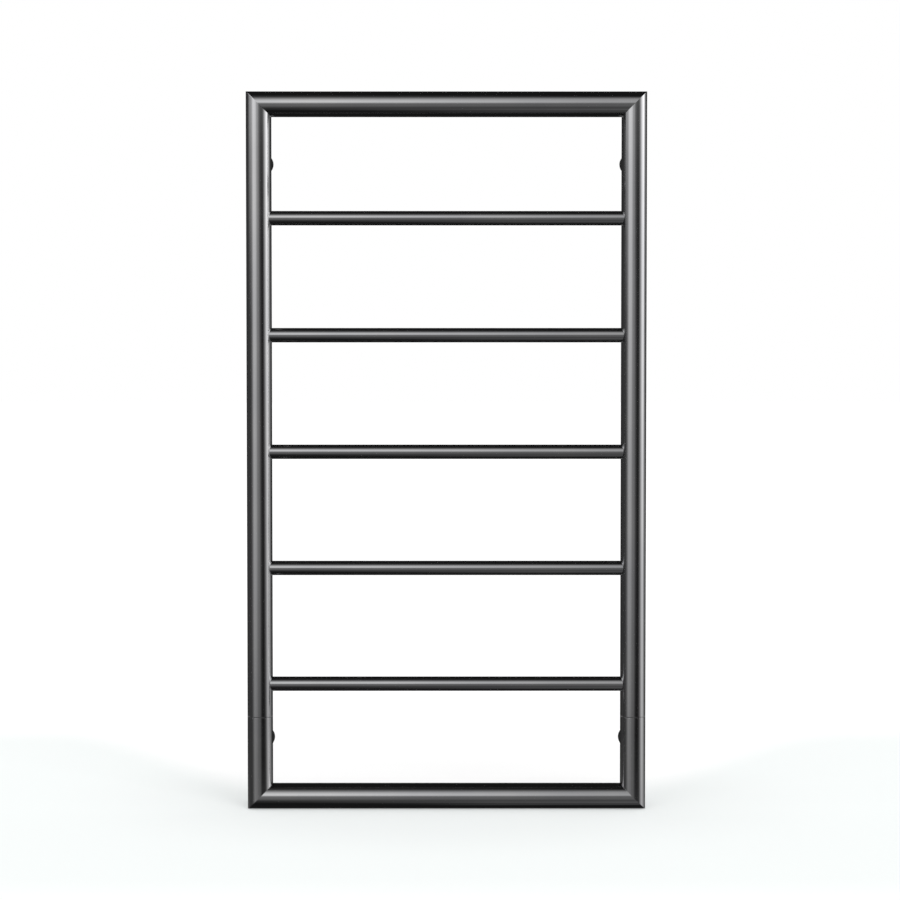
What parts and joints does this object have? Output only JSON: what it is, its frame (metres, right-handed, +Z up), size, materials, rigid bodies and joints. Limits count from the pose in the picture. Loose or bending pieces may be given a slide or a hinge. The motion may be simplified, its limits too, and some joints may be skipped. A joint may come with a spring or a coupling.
{
  "type": "heated towel rail",
  "caption": "Wall-mounted ladder towel rail: mitred round-tube frame, slim round rungs and four wall posts that slide over screwed bosses.",
  "frame": {"origin": "middle of the four wall fixings, on the wall plane", "axes": "+Y into the wall (the front faces -Y), +X to the right seen from the front, +Z up"},
  "size_m": [0.5, 0.0879, 0.898],
  "materials": {
    "polished_gunmetal": "polished stainless tube with a gunmetal (black nickel) coating",
    "boss_steel": "turned stainless steel",
    "black_screw": "black oxide socket screw",
    "sleeve_steel": "bright drawn steel",
    "cable_silicone": "matt silicone sheath",
    "white_silicone": "matt moulded silicone",
    "tinned_copper": "tinned copper",
    "fuse_case": "plated metal case"
  },
  "bodies": {
    "wall_bosses": {"upper_left_boss": "boss_steel", "upper_right_boss": "boss_steel", "lower_left_boss": "boss_steel", "lower_right_boss": "boss_steel"},
    "rail": {"left_upright": "polished_gunmetal", "right_upright": "polished_gunmetal", "left_lower_leg": "polished_gunmetal", "right_lower_leg": "polished_gunmetal", "top_rail": "polished_gunmetal", "bottom_rail": "polished_gunmetal", "rung_1": "polished_gunmetal", "rung_2": "polished_gunmetal", "rung_3": "polished_gunmetal", "rung_4": "polished_gunmetal", "rung_5": "polished_gunmetal", "upper_left_post": "polished_gunmetal", "upper_right_post": "polished_gunmetal", "lower_left_post": "polished_gunmetal", "lower_right_post": "polished_gunmetal", "joint_screws": "black_screw", "left_joint_sleeve": "sleeve_steel", "right_joint_sleeve": "sleeve_steel", "heating_cable": "cable_silicone", "cable_end_seal": "white_silicone", "connection_bung": "white_silicone", "butt_crimps": "tinned_copper", "thermal_fuse": "fuse_case", "lead_gland": "white_silicone", "earth_lug": "tinned_copper", "earth_rivet": "sleeve_steel"},
    "upper_left_grub": {"upper_left_grub_screw": "black_screw"},
    "upper_right_grub": {"upper_right_grub_screw": "black_screw"},
    "lower_left_grub": {"lower_left_grub_screw": "black_screw"},
    "lower_right_grub": {"lower_right_grub_screw": "black_screw"}
  },
  "joints": [
    {"name": "rail_lift_off", "type": "slide", "parent": "wall_bosses", "child": "rail", "axis": [0, -1, 0], "range_m": [0, 0.03]},
    {"name": "upper_left_grub_travel", "type": "slide", "parent": "rail", "child": "upper_left_grub", "axis": [0, 0, -1], "range_m": [0, 0.0015]},
    {"name": "upper_right_grub_travel", "type": "slide", "parent": "rail", "child": "upper_right_grub", "axis": [0, 0, -1], "range_m": [0, 0.0015]},
    {"name": "lower_left_grub_travel", "type": "slide", "parent": "rail", "child": "lower_left_grub", "axis": [0, 0, -1], "range_m": [0, 0.0015]},
    {"name": "lower_right_grub_travel", "type": "slide", "parent": "rail", "child": "lower_right_grub", "axis": [0, 0, -1], "range_m": [0, 0.0015]}
  ]
}
